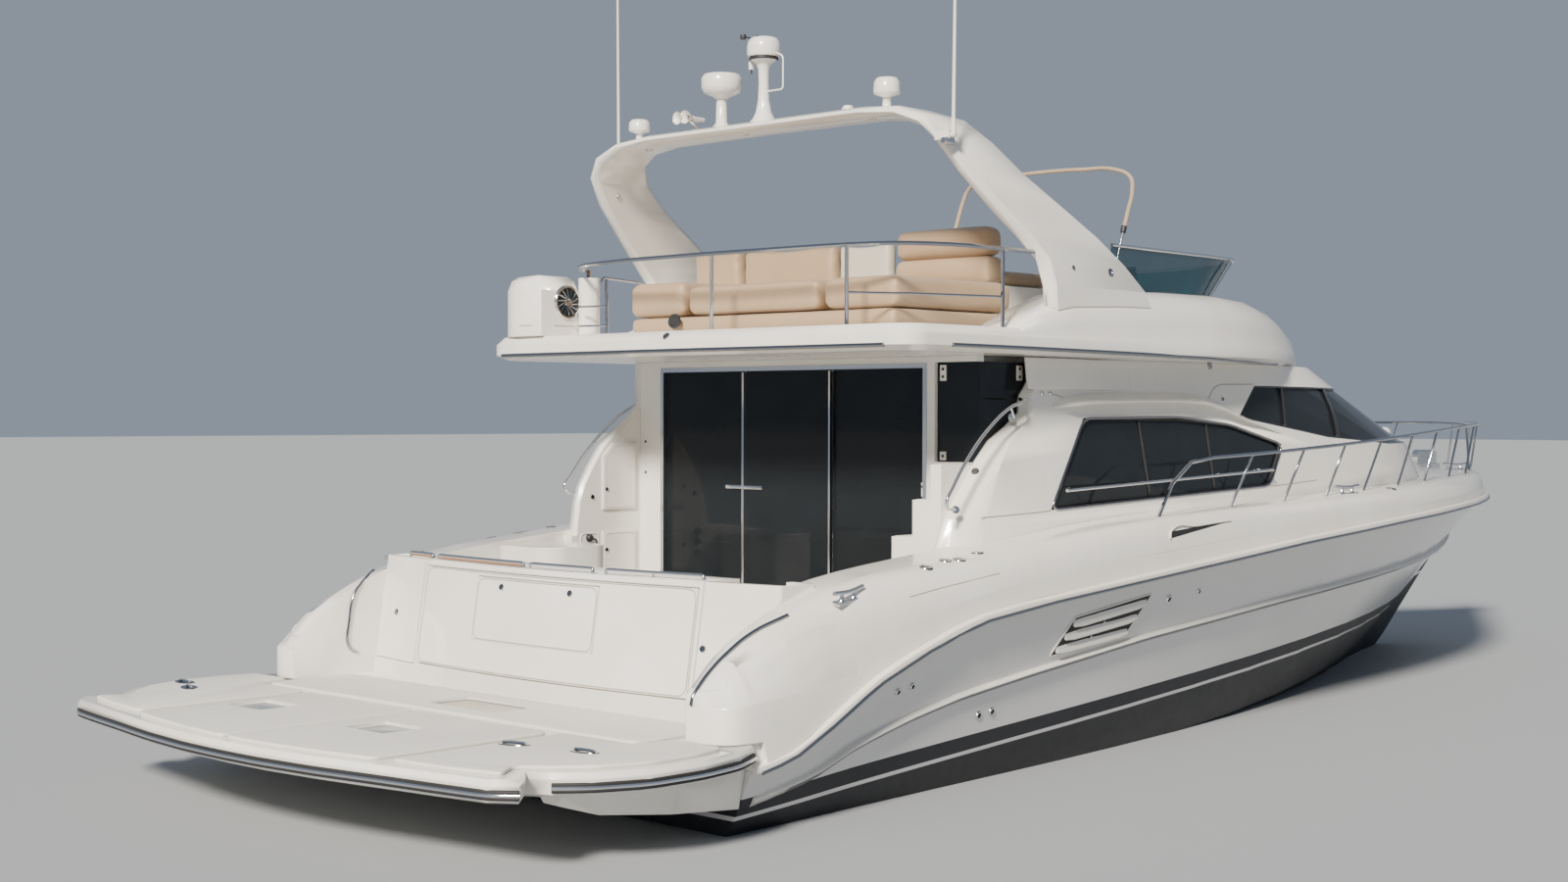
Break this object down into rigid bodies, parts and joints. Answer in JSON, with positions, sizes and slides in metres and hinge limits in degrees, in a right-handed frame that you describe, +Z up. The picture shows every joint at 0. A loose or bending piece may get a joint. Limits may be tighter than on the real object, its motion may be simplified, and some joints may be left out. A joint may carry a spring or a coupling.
{
  "type": "motor yacht",
  "caption": "Flybridge motor yacht with a hollow glazed deckhouse, open cockpit, swim platform, radar arch, bow rail and twin shaft drives, afloat at its waterline.",
  "frame": {"origin": "on the centreline at the waterline, at the middle of the overall length", "axes": "+X to the bow, +Y to port, +Z up"},
  "size_m": [17, 5.18, 8.2782],
  "materials": {
    "gelcoat": "glossy cream-white gelcoat",
    "steel": "polished stainless steel",
    "dark_glass": "dark tinted glass",
    "smoked_plastic": "blue smoked clear plastic",
    "vinyl": "tan marine vinyl",
    "sleeve": "tan cloth sleeve over tube",
    "black_plastic": "satin black",
    "bronze": "worn bronze",
    "engine": "white paint",
    "lid_grey": "grey glossy lid",
    "wood": "varnished joinery"
  },
  "bodies": {
    "boat": {"hull": "gelcoat", "engine_starboard": "engine", "engine_port": "engine", "saloon_interior": "wood", "rub_rail": "steel", "deck_moulding": "gelcoat", "swim_platform": "gelcoat", "deckhouse": "gelcoat", "side_window_port": "dark_glass", "side_window_starboard": "dark_glass", "windscreen": "dark_glass", "aft_bulkhead": "gelcoat", "aft_window": "dark_glass", "door_frame": "steel", "door_panel_port": "dark_glass", "door_panel_starboard": "dark_glass", "cockpit_steps": "gelcoat", "cockpit_seat": "gelcoat", "flybridge": "gelcoat", "radar_arch": "gelcoat", "radar": "gelcoat", "mast": "gelcoat", "dome_port": "gelcoat", "dome_starboard": "gelcoat", "flybridge_rail": "steel", "wind_screen": "smoked_plastic", "helm_console": "black_plastic", "helm_seat_base": "gelcoat", "helm_seat": "vinyl", "helm_seat_back": "vinyl", "lounge_back_middle": "vinyl", "lounge_back_port": "vinyl", "lounge_base": "vinyl", "lounge_pad_port": "vinyl", "lounge_pad_middle": "vinyl", "lounge_pad_starboard": "vinyl", "lift_housing": "gelcoat", "bow_rail": "steel", "windlass": "steel", "shaft_starboard": "bronze", "shaft_port": "bronze"},
    "transom_hatch": {"transom_hatch": "gelcoat"},
    "transom_lid": {"transom_lid": "gelcoat"},
    "transom_gate_starboard": {"transom_gate_starboard": "gelcoat"},
    "transom_gate_port": {"transom_gate_port": "gelcoat"},
    "platform_lid_port": {"platform_lid_port": "lid_grey"},
    "platform_lid_starboard": {"platform_lid_starboard": "lid_grey"},
    "transom_foot_lid": {"transom_foot_lid": "lid_grey"},
    "sliding_door": {"sliding_door": "dark_glass"},
    "cabinet_door_upper": {"cabinet_door_upper": "gelcoat"},
    "cabinet_door_lower": {"cabinet_door_lower": "gelcoat"},
    "fore_hatch": {"fore_hatch": "dark_glass"},
    "aerial_starboard": {"aerial_starboard": "gelcoat"},
    "aerial_port": {"aerial_port": "gelcoat"},
    "awning_bow": {"awning_bow": "sleeve"},
    "steering_wheel": {"steering_wheel": "black_plastic"},
    "propeller_starboard": {"propeller_starboard": "bronze"},
    "propeller_port": {"propeller_port": "bronze"},
    "rudder_starboard": {"rudder_starboard": "bronze"},
    "rudder_port": {"rudder_port": "bronze"}
  },
  "joints": [
    {"name": "transom_hatch_hinge", "type": "hinge", "parent": "boat", "child": "transom_hatch", "pos_m": [-5.987, 0, 1.434], "axis": [0, 1, 0], "range_deg": [0, 60]},
    {"name": "transom_lid_hinge", "type": "hinge", "parent": "transom_hatch", "child": "transom_lid", "pos_m": [-6.064, 0, 0.93], "axis": [0, -1, 0], "range_deg": [0, 85]},
    {"name": "transom_gate_starboard_hinge", "type": "hinge", "parent": "boat", "child": "transom_gate_starboard", "pos_m": [-5.8647, -2.0397, 1], "axis": [0.158, 0, 0.9874], "range_deg": [0, 75]},
    {"name": "transom_gate_port_hinge", "type": "hinge", "parent": "boat", "child": "transom_gate_port", "pos_m": [-5.8647, 2.0397, 1], "axis": [-0.158, 0, -0.9874], "range_deg": [0, 75]},
    {"name": "platform_lid_port_hinge", "type": "hinge", "parent": "boat", "child": "platform_lid_port", "pos_m": [-7.445, 0.955, 0.58], "axis": [0, 1, 0], "range_deg": [0, 95]},
    {"name": "platform_lid_starboard_hinge", "type": "hinge", "parent": "boat", "child": "platform_lid_starboard", "pos_m": [-7.475, -0.425, 0.58], "axis": [0, 1, 0], "range_deg": [0, 95]},
    {"name": "transom_foot_lid_hinge", "type": "hinge", "parent": "boat", "child": "transom_foot_lid", "pos_m": [-6.43, -0.07, 0.58], "axis": [0, 1, 0], "range_deg": [0, 95]},
    {"name": "sliding_door_slide", "type": "slide", "parent": "boat", "child": "sliding_door", "axis": [0, -1, 0], "range_m": [0, 0.83]},
    {"name": "cabinet_door_upper_hinge", "type": "hinge", "parent": "boat", "child": "cabinet_door_upper", "pos_m": [-3.54, 1.7437, 2.02], "axis": [0, 0, 1], "range_deg": [0, 90]},
    {"name": "cabinet_door_lower_hinge", "type": "hinge", "parent": "boat", "child": "cabinet_door_lower", "pos_m": [-3.54, 1.7437, 1.38], "axis": [0, 0, 1], "range_deg": [0, 90]},
    {"name": "fore_hatch_hinge", "type": "hinge", "parent": "boat", "child": "fore_hatch", "pos_m": [5.26, 0, 2.1203], "axis": [0, 1, 0], "range_deg": [0, 80]},
    {"name": "aerial_starboard_fold", "type": "hinge", "parent": "boat", "child": "aerial_starboard", "pos_m": [-3.96, -1.925, 4.44], "axis": [0, -1, 0], "range_deg": [0, 90]},
    {"name": "aerial_port_fold", "type": "hinge", "parent": "boat", "child": "aerial_port", "pos_m": [-3.57, 1.925, 4.44], "axis": [0, -1, 0], "range_deg": [0, 90]},
    {"name": "awning_bow_fold", "type": "hinge", "parent": "boat", "child": "awning_bow", "pos_m": [-0.59, 0, 3.56], "axis": [0, 1, 0], "range_deg": [0, 65]},
    {"name": "rudder_port_turn", "type": "hinge", "parent": "boat", "child": "rudder_port", "pos_m": [-6.08, 0.85, -0.5], "axis": [0, 0, 1], "range_deg": [-35, 35]},
    {"name": "rudder_starboard_turn", "type": "hinge", "parent": "boat", "child": "rudder_starboard", "pos_m": [-6.08, -0.85, -0.5], "axis": [0, 0, 1], "range_deg": [-35, 35]},
    {"name": "steering_wheel_turn", "type": "hinge", "parent": "boat", "child": "steering_wheel", "pos_m": [-1.09, -0.82, 3.56], "axis": [-0.9063, 0, 0.4226], "range_deg": [-540, 540]},
    {"name": "propeller_starboard_spin", "type": "hinge", "parent": "boat", "child": "propeller_starboard", "pos_m": [-5.56, -0.85, -0.84], "axis": [0.9824, 0, 0.1867], "continuous": true},
    {"name": "propeller_port_spin", "type": "hinge", "parent": "boat", "child": "propeller_port", "pos_m": [-5.56, 0.85, -0.84], "axis": [0.9824, 0, 0.1867], "continuous": true}
  ],
  "couplings": [
    {"joint": "rudder_starboard_turn", "follows": "rudder_port_turn", "ratio": 1},
    {"joint": "steering_wheel_turn", "follows": "rudder_port_turn", "ratio": 15.4}
  ]
}
